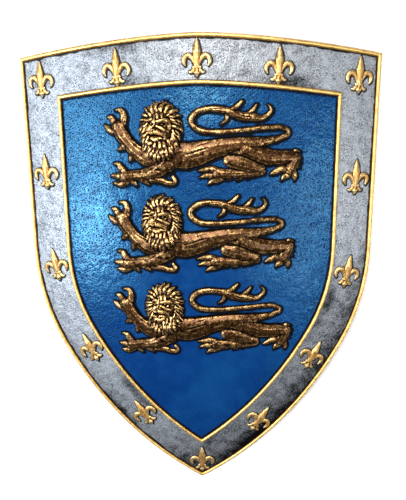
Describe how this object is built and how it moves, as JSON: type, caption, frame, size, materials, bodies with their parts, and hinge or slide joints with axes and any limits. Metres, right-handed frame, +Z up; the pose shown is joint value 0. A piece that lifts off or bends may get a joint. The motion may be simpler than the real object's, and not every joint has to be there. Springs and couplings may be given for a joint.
{
  "type": "heater shield",
  "caption": "Curved heater shield moulded in one piece, with rims, a fleur-de-lis border and lions in low relief on a plain field.",
  "frame": {"origin": "under the middle of the bounding box, on the surface that the shield lies on", "axes": "+Z up out of the front face, +Y towards the top edge, +X to the right when seen from the front"},
  "size_m": [0.478, 0.6506, 0.055],
  "materials": {
    "field_paint": "blue paint over a finely pitted moulding, satin, darkened in the pits",
    "border_paint": "silver paint over a hammered moulding, with a dark wash in the hollows",
    "gilt": "gold paint, satin, browned at its edges",
    "bronze": "antique bronze paint, dark in the hollows and rubbed to gold on the ridges",
    "back_paint": "plain matt black back, faintly uneven from the mould"
  },
  "bodies": {
    "root": {"shield": "field_paint"}
  },
  "joints": []
}
